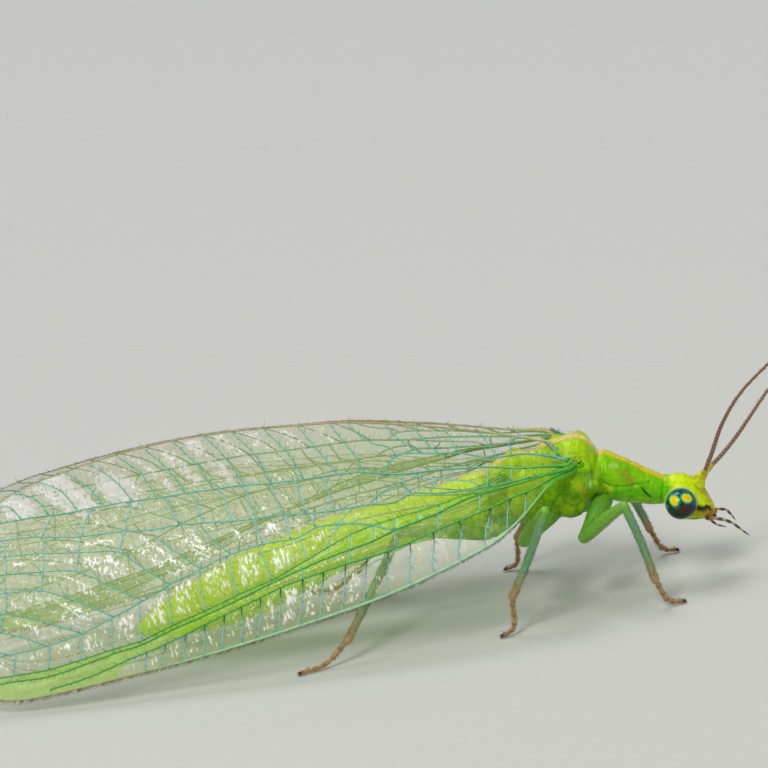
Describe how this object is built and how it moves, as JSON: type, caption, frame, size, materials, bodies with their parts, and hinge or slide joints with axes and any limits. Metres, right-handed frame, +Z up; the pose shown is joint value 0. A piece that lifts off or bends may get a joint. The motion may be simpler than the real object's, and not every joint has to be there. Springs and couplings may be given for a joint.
{
  "type": "green lacewing insect model",
  "caption": "Life-size green lacewing at rest on six small feet, with long feelers and veined wings folded like a roof over a slender body.",
  "frame": {"origin": "middle of the bounding box at the level of the feet, which stand on Z = 0", "axes": "+X towards the head, +Y towards the animal's left side, +Z up"},
  "size_m": [0.0262, 0.0088, 0.009],
  "materials": {
    "head": "yellow-green, satin",
    "eye": "dark metallic green, glossy",
    "antenna": "brown, matt",
    "body": "lime green, satin",
    "wing": "clear membrane with green veins",
    "leg": "green turning brown at the feet, matt"
  },
  "bodies": {
    "root": {"head": "head", "eye_right": "eye", "eye_left": "eye", "antenna_right": "antenna", "antenna_left": "antenna", "prothorax": "body", "mesothorax": "body", "metathorax": "body", "abdomen": "body", "forewing_right": "wing", "forewing_left": "wing", "hindwing_right": "wing", "hindwing_left": "wing", "leg_front_right": "leg", "leg_front_left": "leg", "leg_mid_right": "leg", "leg_mid_left": "leg", "leg_hind_right": "leg", "leg_hind_left": "leg"}
  },
  "joints": []
}
